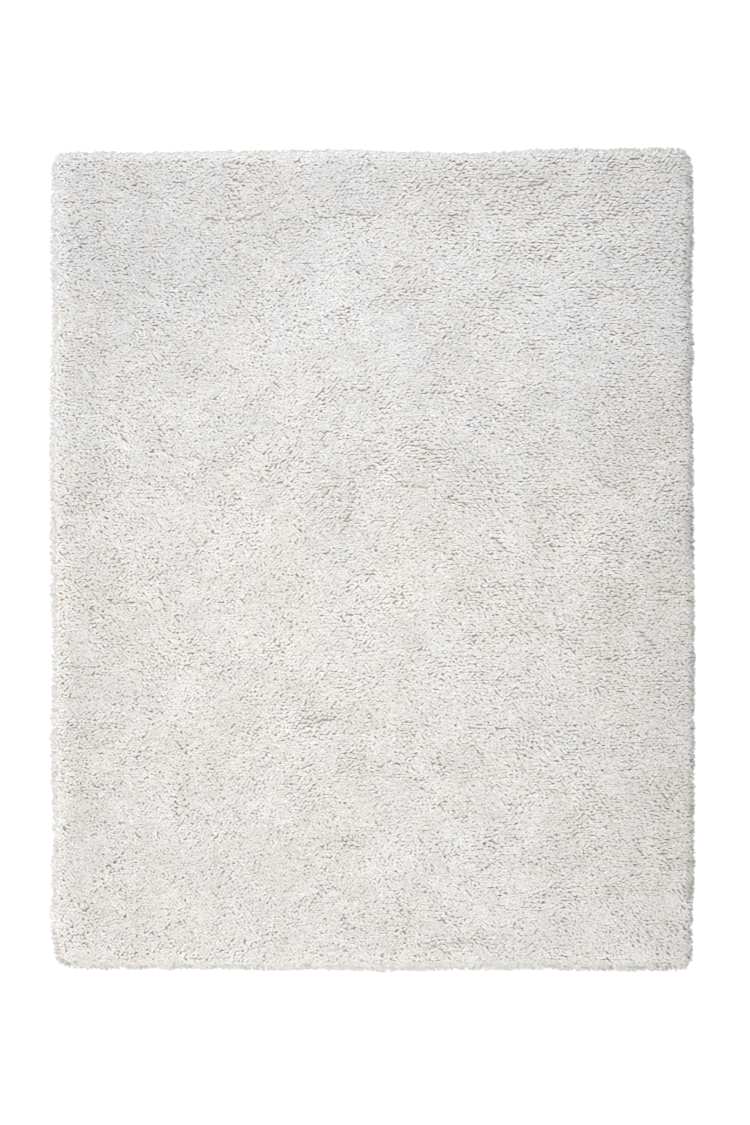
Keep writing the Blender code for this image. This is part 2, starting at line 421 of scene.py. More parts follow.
def offset_outline(inset):
    """The outline at a distance in from the pile's widest reach."""
    return OUTLINE + OUTLINE_NORMALS * (UNDERSIDE_INSET - inset)


def cad_heights():
    """The CAD top's heights on a grid: its axes and the array [row, column]."""
    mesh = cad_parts["rug"].data
    tree = BVHTree.FromPolygons(
        [v.co[:] for v in mesh.vertices], [p.vertices[:] for p in mesh.polygons]
    )
    low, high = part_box("rug")
    columns, rows = (
        np.arange(low[axis] - CAD_GRID_STEP, high[axis] + 2 * CAD_GRID_STEP, CAD_GRID_STEP)
        for axis in (0, 1)
    )
    heights = np.full((len(rows), len(columns)), np.nan)
    for i, y in enumerate(rows):
        for j, x in enumerate(columns):
            hit = tree.ray_cast(Vector((x, y, 1.0)), Vector((0.0, 0.0, -1.0)))[0]
            if hit is not None and hit.z > high[2] - CAD_TOP_SPAN:
                heights[i, j] = hit.z
    for _ in range(4):  # carry the top's height out over the rim
        blank = np.isnan(heights)
        padded = np.pad(heights, 1, constant_values=np.nan)
        around = np.stack([padded[1:-1, :-2], padded[1:-1, 2:], padded[:-2, 1:-1], padded[2:, 1:-1]])
        known = ~np.isnan(around)
        total = np.where(known, around, 0.0).sum(axis=0)
        count = known.sum(axis=0)
        fill = blank & (count > 0)
        heights[fill] = total[fill] / count[fill]
    return columns, rows, heights


def top_height(x, y):
    """Height of the tips of the pile at arrays of points, where the rim doesn't fall away."""
    columns, rows, heights = HEIGHTS
    u = np.clip((x - columns[0]) / (columns[1] - columns[0]), 0, len(columns) - 1.001)
    v = np.clip((y - rows[0]) / (rows[1] - rows[0]), 0, len(rows) - 1.001)
    j = u.astype(int)
    i = v.astype(int)
    return between(heights, i, j, v - i, u - j)


OUTLINE, OUTLINE_NORMALS = cad_outline()
HEIGHTS = cad_heights()
CAD_SIZE = tuple(float(high - low) for low, high in zip(*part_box("rug")))


# ---- materials

WHITE = (1.0, 1.0, 1.0)


def new_material(name, roughness):
    material = bpy.data.materials.new(name)
    material.use_nodes = True
    shader = material.node_tree.nodes["Principled BSDF"]
    shader.inputs["Roughness"].default_value = roughness
    shader.inputs["Specular IOR Level"].default_value = 0.25
    return material, material.node_tree, shader


def add_node(tree, kind, **values):
    node = tree.nodes.new(kind)
    for name, value in values.items():
        setattr(node, name, value)
    return node


def ramp(tree, factor, *stops):
    """Colours by a factor, from stops that each are a place and a colour."""
    node = add_node(tree, "ShaderNodeValToRGB")
    elements = node.color_ramp.elements
    while len(elements) < len(stops):
        elements.new(0.5)
    for element, (place, colour) in zip(elements, stops):
        element.position = place
        element.color = (*colour, 1.0)
    tree.links.new(factor, node.inputs["Fac"])
    return node.outputs["Color"]


def mix(tree, kind, factor, first, second):
    node = add_node(tree, "ShaderNodeMix", data_type="RGBA", blend_type=kind)
    for socket, value in ((node.inputs[0], factor), (node.inputs[6], first), (node.inputs[7], second)):
        if isinstance(value, bpy.types.NodeSocket):
            tree.links.new(value, socket)
        else:
            socket.default_value = value
    return node.outputs[2]


def product(tree, first, *others):
    """Colours multiplied by one another."""
    for other in others:
        first = mix(tree, "MULTIPLY", 1.0, first, other)
    return first


def noise(tree, vector, scale, detail):
    """A noise texture's node over a vector."""
    node = add_node(tree, "ShaderNodeTexNoise")
    node.inputs["Scale"].default_value = scale
    node.inputs["Detail"].default_value = detail
    tree.links.new(vector, node.inputs["Vector"])
    return node


def stretched(tree, vector, scales):
    """A vector scaled by so much along each axis."""
    node = add_node(tree, "ShaderNodeMapping")
    node.inputs["Scale"].default_value = scales
    tree.links.new(vector, node.inputs["Vector"])
    return node.outputs["Vector"]


def add_relief(tree, shader, height, strength, depth):
    bump = add_node(tree, "ShaderNodeBump")
    bump.inputs["Strength"].default_value = strength
    bump.inputs["Distance"].default_value = depth
    tree.links.new(height, bump.inputs["Height"])
    tree.links.new(bump.outputs["Normal"], shader.inputs["Normal"])


def yarn_material(name, fibres_across, darkest, depth):
    """Ivory yarn: a tone for each yarn, darker and warm at its foot in painted shade and pale at its
    tip, with fibres.

    darkest is the painted shade between the fibres, as a share of their colour, and depth their
    relief.
    """
    material, tree, shader = new_material(name, 0.9)
    shader.inputs["Sheen Weight"].default_value = 0.15
    shader.inputs["Sheen Roughness"].default_value = 0.5
    tone, warmth, along, around = (
        add_node(tree, "ShaderNodeAttribute", attribute_name=name).outputs["Fac"]
        for name in ("tone", "warmth", "along", "around")
    )
    by_tone = ramp(
        tree,
        tone,
        (0.0, (0.71, 0.707, 0.708)),
        (0.5, (0.857, 0.859, 0.864)),
        (1.0, (0.948, 0.951, 0.957)),
    )
    by_warmth = ramp(
        tree,
        warmth,
        (0.0, (0.981, 0.986, 1.0)),
        (0.2, WHITE),
        (0.45, (1.0, 0.993, 0.978)),
        (0.7, (1.0, 0.986, 0.952)),
        (1.0, (0.985, 0.943, 0.902)),
    )
    # Painted shade: darker and warmer towards the yarn's foot, down in the pile.
    foot_shade = ramp(
        tree,
        along,
        (0.0, (0.84, 0.775, 0.73)),
        (0.35, (0.93, 0.899, 0.875)),
        (0.55, (0.98, 0.972, 0.96)),
        (0.7, WHITE),
    )
    place = add_node(tree, "ShaderNodeCombineXYZ")
    for axis, value in zip("XYZ", (around, along, tone)):
        tree.links.new(value, place.inputs[axis])
    lengthened = stretched(tree, place.outputs["Vector"], (fibres_across, 2.0, 31.0))
    fibres = noise(tree, lengthened, 1.0, 2.0).outputs["Fac"]
    # Painted shade between the fibres.
    fibre_shade = ramp(tree, fibres, (0.36, darkest), (0.60, WHITE))
    colour = product(tree, by_tone, by_warmth, foot_shade, fibre_shade)
    tree.links.new(colour, shader.inputs["Base Color"])
    dullness = ramp(tree, fibres, (0.3, (0.96,) * 3), (0.7, (0.82,) * 3))
    tree.links.new(dullness, shader.inputs["Roughness"])
    add_relief(tree, shader, fibres, 0.7, depth)
    return material


def foot_material():
    """The foot of the pile, seen in the gaps between the yarn ends, dark brown as painted shade."""
    material, tree, shader = new_material("foot of the pile", 1.0)
    place = add_node(tree, "ShaderNodeNewGeometry").outputs["Position"]
    tufts = noise(tree, stretched(tree, place, (70.0, 190.0, 120.0)), 1.0, 3.0).outputs["Fac"]
    # Painted shade: the foot is coloured dark brown for the shade down between the yarn ends.
    colour = ramp(
        tree,
        tufts,
        (0.35, (0.42, 0.36, 0.31)),
        (0.55, (0.50, 0.43, 0.375)),
        (0.7, (0.57, 0.495, 0.435)),
    )
    tree.links.new(colour, shader.inputs["Base Color"])
    add_relief(tree, shader, tufts, 0.8, 3 * MM)
    return material


def backing_material():
    """Plain woven jute backing cloth."""
    material, tree, shader = new_material("backing cloth", 0.9)
    place = add_node(tree, "ShaderNodeNewGeometry").outputs["Position"]
    drift = noise(tree, place, 1 / 0.02, 2.0).outputs["Color"]
    wavering = mix(tree, "LINEAR_LIGHT", 0.3 * THREAD_PITCH, place, drift)

    def bands(direction, pitch, shift):
        wave = add_node(tree, "ShaderNodeTexWave", wave_type="BANDS", bands_direction=direction)
        wave.inputs["Scale"].default_value = 2 * math.pi / (20 * pitch)
        wave.inputs["Phase Offset"].default_value = shift
        tree.links.new(wavering, wave.inputs["Vector"])
        return wave.outputs["Fac"]

    # Each thread passes over one crossing and under the next.
    across, lengthwise = (bands(direction, 2 * THREAD_PITCH, math.pi / 2) for direction in "XY")
    opposite = mix(tree, "SUBTRACT", 1.0, (1.0, 1.0, 1.0, 1.0), lengthwise)
    over = mix(tree, "MIX", across, opposite, lengthwise)
    weave = mix(tree, "MIX", over, bands("X", THREAD_PITCH, 0.0), bands("Y", THREAD_PITCH, 0.0))
    dark, middling, pale = (0.27, 0.21, 0.15), (0.50, 0.43, 0.33), (0.63, 0.56, 0.45)
    jute = ramp(tree, weave, (0.0, dark), (0.45, middling), (1.0, pale))
    blotches = noise(tree, place, 1 / 0.11, 4.0).outputs["Fac"]
    uneven = ramp(tree, blotches, (0.3, (0.88,) * 3), (0.7, WHITE))
    fibres = noise(tree, place, 1 / 0.0009, 2.0).outputs["Fac"]
    fuzz = ramp(tree, fibres, (0.35, (0.82, 0.80, 0.77)), (0.6, WHITE))
    tree.links.new(product(tree, jute, uneven, fuzz), shader.inputs["Base Color"])
    add_relief(tree, shader, weave, 0.8, 0.6 * MM)
    return material


# ---- slabs


def border_of(inset, per_side):
    """A border of 4 sides, anticlockwise from the bottom left corner: [n, 2] points."""
    ring = offset_outline(inset)
    corners = [
        int(np.argmax(ring[:, 0] * sign_x + ring[:, 1] * sign_y))
        for sign_x, sign_y in ((-1, -1), (1, -1), (1, 1), (-1, 1))
    ]
    sides = []
    for here, after, count in zip(corners, corners[1:] + corners[:1], per_side * 2):
        length = (after - here) % len(ring)
        sides.append(evenly_spaced(ring[(here + np.arange(length + 1)) % len(ring)], count))
    return np.vstack(sides)


def filled_grid(border, per_side):
    """A grid [row, column, xy] filled in smoothly from a border of 4 sides."""
    across, along = per_side
    bottom = border[: across + 1]
    right = border[across : across + along + 1]
    top = border[across + along : 2 * across + along + 1][::-1]
    left = np.vstack([border[2 * across + along :], border[:1]])[::-1]
    u = np.linspace(0, 1, across + 1)[None, :, None]
    v = np.linspace(0, 1, along + 1)[:, None, None]
    corners = (bottom[0] * (1 - u) + bottom[-1] * u) * (1 - v) + (top[0] * (1 - u) + top[-1] * u) * v
    lengthwise = bottom[None] * (1 - v) + top[None] * v
    return lengthwise + left[:, None] * (1 - u) + right[:, None] * u - corners


def slab(name, cell, rim, underside, top, material):
    """A closed slab. rim: inset and height share of each ring, from the top's border down.

    The shares are counted from the height underside, and top(x, y) gives the top's height.
    """
    per_side = [int(round(length / cell)) for length in CAD_SIZE[:2]]
    rings = [border_of(inset, per_side) for inset, _ in rim]
    grid = filled_grid(rings[0], per_side)
    rows, columns = grid.shape[:2]
    flat = grid.reshape(-1, 2)
    points = [np.column_stack([flat, top(*flat.T)])]
    index = np.arange(rows * columns).reshape(rows, columns)
    cells = np.stack([index[:-1, :-1], index[:-1, 1:], index[1:, 1:], index[1:, :-1]], axis=-1)
    faces = [cells.reshape(-1, 4)]
    upper = np.r_[index[0, :-1], index[:-1, -1], index[-1, :0:-1], index[:0:-1, 0]]
    crown = points[0][upper, 2]
    start = rows * columns
    for ring, (_, share) in zip(rings[1:], rim[1:]):
        height = underside + (crown - underside) * share
        points.append(np.column_stack([ring, height]))
        lower = start + np.arange(len(ring))
        faces.append(np.stack([upper, lower, np.roll(lower, -1), np.roll(upper, -1)], axis=-1))
        upper = lower
        start += len(ring)
    mesh = bpy.data.meshes.new(name)
    polygons = np.vstack(faces).tolist() + [upper[::-1].tolist()]
    mesh.from_pydata(np.vstack(points).tolist(), [], polygons)
    mesh.shade_smooth()
    mesh.polygons[len(polygons) - 1].use_smooth = False  # the flat underside
    return new_object(name, mesh, material)


# ---- yarn


def yarn_piece(name, yarn, material):
    """Yarn ends as one mesh of closed shapes, from a dictionary of arrays.

    "paths" [n, 3, 3] are each one's root, middle and tip, "width" and "height" [n] its size
    at the middle, "tone" and "warmth" [n] are 0 to 1, "roll" [n] is the most that it is
    turned about its length, in degrees, and "lift" [n] how far its shading is turned to
    face up, 0 to 1.
    """
    root, middle, tip = (yarn["paths"][:, point] for point in range(3))
    count = len(root)
    up = (0.0, 0.0, 1.0)
    tangent = unit(ONWARD * unit(tip - middle) + (1 - ONWARD) * unit(middle - root))
    across = unit(np.cross(up, tangent) + 1e-4)
    over = np.cross(tangent, across)
    roll = np.radians(rng.uniform(-1, 1, count) * yarn["roll"])[:, None]
    across, over = turned(across, over, roll)
    edges = []
    edge_normals = []
    for aside, above, lean, upright in SECTION:
        edge = middle + across * (aside * yarn["width"])[:, None]
        edges.append(edge + over * (above * yarn["height"])[:, None])
        edge_normals.append(across * lean + over * upright)
    end_normals = [np.cross(run, np.cross(up, run) + 1e-6) for run in (middle - root, tip - middle)]
    verts = np.stack([root, *edges, tip], axis=1)
    normals = np.stack([end_normals[0], *edge_normals, end_normals[1]], axis=1)
    lift = yarn["lift"][:, None, None]
    normals = unit(normals) * (1 - lift) + lift * np.array(up)
    # Where the yarn is bent and turned so far that it is inside out, swap its edges.
    left, right = verts[:, 1] - root, verts[:, 2] - root
    swap = (np.cross(left, right) * (tip - root)).sum(axis=1) > 0
    for values in (verts, normals):
        values[swap, 1], values[swap, 2] = values[swap, 2], values[swap, 1].copy()

    corners = np.concatenate(CORNER_FACES)
    starts = np.arange(len(CORNER_FACES)) * 3
    first = np.arange(count)[:, None]
    used = (corners + first * len(CORNER_ALONG)).ravel()
    mesh = bpy.data.meshes.new(name)
    mesh.vertices.add(count * len(CORNER_ALONG))
    mesh.loops.add(count * len(corners))
    mesh.polygons.add(count * len(starts))
    mesh.vertices.foreach_set("co", verts.astype(np.float32).ravel())
    mesh.loops.foreach_set("vertex_index", used.astype(np.int32))
    mesh.polygons.foreach_set("loop_start", (starts + first * len(corners)).astype(np.int32).ravel())
    mesh.update(calc_edges=True)
    mesh.shade_smooth()
    layer = mesh.attributes.new("custom_normal", "FLOAT_VECTOR", "POINT")
    layer.data.foreach_set("vector", unit(normals).astype(np.float32).ravel())

    tone = np.floor(np.clip(yarn["tone"], 0, 0.999) * TONES)
    warmth = np.floor(np.clip(yarn["warmth"], 0, 0.999) * WARMTHS)
    tone, warmth = (np.repeat(values, len(CORNER_ALONG)) for values in (tone, warmth))
    along = np.tile(CORNER_ALONG, count)
    around = np.tile(CORNER_AROUND, count)
    for attribute, values in (
        ("along", along),
        ("around", around),
        ("tone", (tone + 0.5) / TONES),
        ("warmth", (warmth + 0.5) / WARMTHS),
    ):
        layer = mesh.attributes.new(attribute, "FLOAT", "POINT")
        layer.data.foreach_set("value", values.astype(np.float32))
    # Yarn ends of the same tone and warmth share their place on the baked map.
    column = (warmth * TONES + tone + 0.1 + 0.8 * around) / (TONES * WARMTHS)
    places = np.column_stack([column, 0.02 + 0.96 * along])
    layer = mesh.uv_layers.new(name="OFBake")
    layer.data.foreach_set("uv", places[used].astype(np.float32).ravel())
    return new_object(name, mesh, material)


def lie_of(x, y):
    """How the pile lies at arrays of points: angle from +X, how combed, how far parted."""
    total = np.zeros(np.shape(x))
    sums = [np.zeros(np.shape(x)) for _ in range(3)]
    for place_x, place_y, *values in LIE:
        weight = np.exp(-((x - place_x) ** 2 + (y - place_y) ** 2) / LIE_REACH**2) + 1e-6
        total += weight
        for index, value in enumerate(values):
            sums[index] += weight * value
    lean, combed, parted = (each / total for each in sums)
    ruffled = 1.0 - combed
    lean = LEAN_SCALE * lean + LEAN_SHIFT + plus(BROAD_LEAN, ruffled) * noise_at("broad lean", x, y)
    lean = lean + plus(FINE_LEAN, ruffled) * noise_at("fine lean", x, y)
    parted = np.clip(parted + UNEVEN_PARTING * noise_at("parting", x, y), 0, MOST_PARTED)
    return np.radians(lean), combed, parted


def spacing(size, combed):
    """Spacing along the way the pile lies and across it, from the mean of the two."""
    stretch = plus(STRETCH, combed)
    return size[0] * stretch, size[1] / stretch


def packed(size, warp, seed):
    """Middles [n] x and y of tufts or locks over the whole rug, packed like bricks."""
    columns = int(CAD_SIZE[0] / size[0]) + 3
    rows = int(CAD_SIZE[1] / size[1]) + 3
    row, column = np.mgrid[0:rows, 0:columns].astype(float)
    shuffle = np.random.default_rng(seed).uniform(-0.4, 0.4, (2, rows, columns))
    x = (column + 0.5 * (row % 2) + shuffle[0] - 0.5 * columns) * size[0]
    y = (row + 0.5 + shuffle[1] - 0.5 * rows) * size[1]
    waves = [smooth_noise(x, y, wave, seed + 1 + axis) for axis, wave in enumerate(ROW_WAVES)]
    x, y = x + warp * waves[0], y + warp * waves[1]
    for _ in range(PACK_STEPS):
        lean, combed, _ = lie_of(x, y)
        length, width = spacing(size, combed)
        move = np.zeros((2, rows, columns))
        for row_step in range(-3, 4):
            for column_step in range(-2, 3):
                if row_step == 0 and column_step == 0:
                    continue
                step_x = x - np.roll(x, (row_step, column_step), (0, 1))
                step_y = y - np.roll(y, (row_step, column_step), (0, 1))
                along, aside = turned(step_x, step_y, lean)
                apart = np.hypot(along / length, aside / width) + 1e-6
                push = np.clip(1.05 - apart, 0, None) * 0.25 / apart
                move += push * np.stack([step_x, step_y])
        x = x + move[0]
        y = y + move[1]
    return x.ravel(), y.ravel()


def tuft_places(x, y, lean, combed):
    """Where points lie in the tuft that each belongs to: [n, 2], along and across it.

    The values are 0 at the tuft's middle and about 1 at its edge.
    """
    tuft_x, tuft_y = packed(TUFT_SIZE, TUFT_WARP, TUFT_SEED)
    tree = KDTree(len(tuft_x))
    for index, (place_x, place_y) in enumerate(zip(tuft_x, tuft_y)):
        tree.insert((place_x, place_y, 0.0), index)
    tree.balance()
    near = np.array([[found[1] for found in tree.find_n((*place, 0.0), 6)] for place in zip(x, y)])
    step_x = x[:, None] - tuft_x[near]
    step_y = y[:, None] - tuft_y[near]
    length, width = (each[:, None] for each in spacing(TUFT_SIZE, combed))
    along, aside = turned(step_x, step_y, lean[:, None])
    places = np.stack([2 * along / length, 2 * aside / width], axis=-1)
    best = np.argmin((places**2).sum(axis=-1), axis=1)
    return places[np.arange(len(x)), best]


def clefts_at(x, y, widths=1.0):
    """How deep in a cleft points are, 0 to 1, and which way the pile leans off it."""
    warp_x = x + CLEFT_WARP * noise_at("cleft x", x, y)
    warp_y = y + CLEFT_WARP * noise_at("cleft y", x, y)
    depth = np.zeros(len(x))
    lean = np.zeros((len(x), 2))
    for x0, y0, x1, y1 in CLEFTS:
        run = np.array((x1 - x0, y1 - y0))
        share = ((warp_x - x0) * run[0] + (warp_y - y0) * run[1]) / (run @ run)
        share = np.clip(share, 0, 1)
        off = np.column_stack([warp_x - x0 - share * run[0], warp_y - y0 - share * run[1]])
        distance = np.linalg.norm(off, axis=1)
        depth = np.maximum(depth, np.exp(-((distance / (widths * CLEFT_WIDTH)) ** 2)))
        lean += unit(off) * np.exp(-((distance / (PUSH_WIDTH * CLEFT_WIDTH)) ** 2))[:, None]
    return depth, lean


def shoulder(inset, outward):
    """Height of the pile's tips near its rim, as a share of their height on top."""
    insets, shares = zip(*SHOULDER)
    return np.interp(inset / by_side(outward, SHOULDER_WIDTHS), insets, shares)


def rim_swell(points, outward):
    """The rim's unevenness at points [n, 2]: how far its yarn ends stay in from an even rim."""
    return by_side(outward, RIM_SWELL) * noise_at("swell", *points.T)


def rim_frame(x, y):
    """Points' distance in from the pile's widest reach, and the way out there."""
    reach = offset_outline(0.0)
    inset = np.empty(len(x))
    outward = np.empty((len(x), 2))
    for start in range(0, len(x), 4000):  # a part at a time, to save memory
        part = slice(start, start + 4000)
        apart = np.stack([x[part, None] - reach[:, 0], y[part, None] - reach[:, 1]], axis=-1)
        nearest = np.argmin((apart**2).sum(axis=-1), axis=1)
        rows = np.arange(len(nearest))
        outward[part] = OUTLINE_NORMALS[nearest]
        inset[part] = -(apart[rows, nearest] * OUTLINE_NORMALS[nearest]).sum(axis=-1)
    return inset, outward


def top_locks():
    """The locks on the top: a dictionary of arrays, one value or row for each lock."""
    x, y = packed(LOCK_SIZE, LOCK_WARP, LOCK_SEED)
    inset, outward = rim_frame(x, y)
    keep = inset > by_side(outward, LOCK_INSET)
    x, y, inset, outward = x[keep], y[keep], inset[keep], outward[keep]
    lean, combed, parted = lie_of(x, y)
    length, width = spacing(LOCK_SIZE, combed)
    cleft, _ = clefts_at(x, y, PARTING_WIDTH)
    parted = parted + cleft
    place = tuft_places(x, y, lean, combed)
    tuft_length, tuft_width = spacing(TUFT_SIZE, combed)
    off_x, off_y = turned(place[:, 0] * 0.5 * tuft_length, place[:, 1] * 0.5 * tuft_width, -lean)
    x = x - TUFT_PULL * parted * off_x
    y = y - TUFT_PULL * parted * off_y
    lean = lean - np.radians(TUFT_LEAN) * parted * np.clip(place[:, 1], -1, 1)
    lean = lean + np.radians(rng.normal(0, 1, len(x)) * plus(LOCK_SPREAD, 1 - combed))
    turn = np.arctan2(outward[:, 1], outward[:, 0]) - lean
    turn = (turn + math.pi) % (2 * math.pi) - math.pi
    near = np.clip((TURN_START - inset) / TURN_REACH, 0, 1)
    most = math.radians(RIM_TURN)
    lean = lean + np.clip(turn, -most, most) * near
    tone = LOCK_TONE * rng.normal(0, 1, len(x))
    for name, strength in TONE_PATCHES:
        tone = tone + strength * noise_at(name, x, y)
    return {
        "middle": np.column_stack([x, y]),
        "place": place,
        "lean": lean,
        "combed": combed,
        "parted": parted,
        "length": length,
        "width": width,
        "drop": rng.uniform(0, 1, len(x)) * plus(LOCK_DROP, parted),
        "tone": tone,
        "lift": by_side(outward, RIM_LIFT) * np.clip((LIFT_START - inset) / LIFT_REACH, 0, 1),
    }


def tuft_drop(place, parted):
    """How far yarn lies below its tuft's top, from its place in the tuft."""
    return np.clip((place**2).sum(axis=-1), 0, 1.3) * plus(TUFT_DROP, parted)


def laid(points, drops):
    """Points [n, 2] on the pile's top, drops below it, with clefts pressed in: [n, 3]."""
    depth, off = clefts_at(*points.T)
    points = points + off * CLEFT_PUSH
    inset, outward = rim_frame(*points.T)
    inset = inset + rim_swell(points, outward)
    height = top_height(*points.T) * shoulder(inset, outward)
    height = height - drops - depth * CLEFT_DEPTH
    return np.column_stack([points, np.maximum(height, LOWEST)])


def rooted(points, middles, forward):
    """Points [n, 2] down in the pile, behind the middles of their yarn and in from the rim."""
    inset, outward = rim_frame(*points.T)
    points = points - outward * np.clip(ROOT_INSET - inset, 0, None)[:, None]
    behind = ((middles - points) * forward).sum(axis=1)
    points = points - forward * np.clip(ROOT_BEHIND - behind, 0, None)[:, None]
    inset, outward = rim_frame(*points.T)
    height = top_height(*points.T) * shoulder(inset, outward)
    return np.column_stack([points, np.maximum(height - FOOT_DEPTH - ROOT_DEPTH, LOWEST)])


def settled(root, middle, tip):
    """Paths [n, 3, 3] with their ends low enough that the yarn bends down, not up."""
    paths = np.stack([root, middle, tip], axis=1)
    paths[:, 0, 2] = np.minimum(paths[:, 0, 2], paths[:, 1, 2] - 5 * MM)
    paths[:, 2, 2] = np.minimum(paths[:, 2, 2], paths[:, 1, 2] + 1.5 * MM)
    paths[:, :, 2] = np.maximum(paths[:, :, 2], 1 * MM)
    return paths


def painted_light_and_shade(points):
    """Painted light and shade at points [n, 2]: how much paler (or darker, below 0) it makes the pile.
    """
    x, y = points.T
    tone = np.zeros(len(points))
    for middle_x, middle_y, reach_x, reach_y, shift in PATCHES:
        tone += shift * np.exp(-(((x - middle_x) / reach_x) ** 2) - ((y - middle_y) / reach_y) ** 2)
    inset, outward = rim_frame(x, y)
    # painted shade in hollows just in from the shaded side's rim
    hollow_shade = np.clip(noise_at("hollows", x, y), 0, None)
    hollow_shade = hollow_shade * np.exp(-(((inset - HOLLOW_INSET) / HOLLOW_REACH) ** 2))
    # painted light at the rim, paler towards the ends and sides
    rim_light = np.exp(-np.clip(inset, 0, None) / PAINTED_LIGHT_REACH)
    return tone + by_side(outward, HOLLOW_SHADE) * hollow_shade + by_side(outward, RIM_PAINTED_LIGHT) * rim_light


def warmth_at(points):
    """How warm the yarn's ivory is at points [n, 2], 0 to 1: cool at the top end."""
    x, y = points.T
    warmth = np.interp(-y, *zip(*WARMTH)) + rng.normal(0, WARMTH_SPREAD, len(points))
    for name, strength in WARM_PATCHES:
        warmth += strength * noise_at(name, x, y)
    return warmth


def lock_bodies(locks):
    """The flat bodies of the locks, as yarn_piece takes them."""
    lean, parted, middle = locks["lean"], locks["parted"], locks["middle"]
    count = len(lean)
    forward = toward(lean)
    onward = toward(lean + np.radians(rng.normal(0, 1, count) * plus(BODY_BEND, 1 - locks["combed"])))
    run = (locks["length"] * BODY_LENGTH * rng.uniform(0.85, 1.15, count))[:, None]
    root = middle - forward * (ROOT_SHARE * run)
    tip = middle + onward * ((1 - ROOT_SHARE) * run)
    drop = locks["drop"] + BODY_SINK * BODY_HEIGHT + BODY_DROP + tuft_drop(locks["place"], parted)
    droop = rng.uniform(0.2, 1.0, count) * plus(TIP_DROOP, parted)
    width = locks["width"] * plus(BODY_WIDTH, parted) * rng.uniform(0.9, 1.1, count)
    return {
        "paths": settled(rooted(root, middle, forward), laid(middle, drop), laid(tip, drop + droop)),
        "width": width,
        "height": np.full(count, BODY_HEIGHT),
        "roll": np.full(count, BODY_ROLL),
        "lift": locks["lift"],
        # the tone takes in painted light and shade
        "tone": BODY_TONE + locks["tone"] + painted_light_and_shade(middle),
        "warmth": warmth_at(middle),
    }


def lock_strands(locks):
    """The loose yarn ends on the locks, as yarn_piece takes them."""
    count = len(locks["lean"]) * STRANDS
    lock = {key: np.repeat(values, STRANDS, axis=0) for key, values in locks.items()}
    lean, parted = lock["lean"], lock["parted"]
    ruffled = 1 - lock["combed"]
    angle = lean + np.radians(rng.normal(0, 1, count) * plus(YARN_SPREAD, ruffled))
    bend = angle + np.radians(rng.normal(0, 1, count) * plus(YARN_BEND, ruffled))
    forward = toward(lean)
    sideways = np.column_stack([-forward[:, 1], forward[:, 0]])
    slot = np.tile(np.arange(STRANDS), len(locks["lean"]))
    lane = ((slot + 0.5) / STRANDS - 0.5) * 2 + rng.uniform(-0.3, 0.3, count)
    aside = lane * LANE_REACH * lock["width"] * plus(LANE_SPREAD, parted)
    place = rng.uniform(-PLACE_SPREAD, PLACE_SPREAD, count) * lock["length"]
    tuft_size = np.column_stack(spacing(TUFT_SIZE, lock["combed"]))
    in_tuft = lock["place"] + 2 * np.column_stack([place, aside]) / tuft_size
    run = (YARN_LENGTH * rng.uniform(0.75, 1.25, count))[:, None]
    middle = lock["middle"] + forward * place[:, None] + sideways * aside[:, None]
    root = middle - toward(angle) * (ROOT_SHARE * run)
    tip = middle + toward(bend) * ((1 - ROOT_SHARE) * run) - sideways * (TIP_PULL * aside)[:, None]
    drop = lock["drop"] + lane**2 * LANE_DROP * parted + tuft_drop(in_tuft, parted)
    drop = drop + rng.uniform(0, 1, count) * plus(YARN_DROP, parted) + YARN_SINK * YARN_HEIGHT
    droop = rng.uniform(0, 1, count) * plus(TIP_DROOP, parted)
    root = rooted(root, middle, toward(angle)) + np.array((0.0, 0.0, YARN_RISE))
    size = rng.uniform(0.8, 1.2, count)
    return {
        "paths": settled(root, laid(middle, drop), laid(tip, drop + droop)),
        "width": YARN_WIDTH * size,
        "height": YARN_HEIGHT * size,
        "roll": np.full(count, YARN_ROLL),
        "lift": lock["lift"],
        # the tone takes in painted light and shade
        "tone": YARN_TONE[0] + lock["tone"] + rng.normal(0, YARN_TONE[1], count) + painted_light_and_shade(middle),
        "warmth": warmth_at(middle),
    }


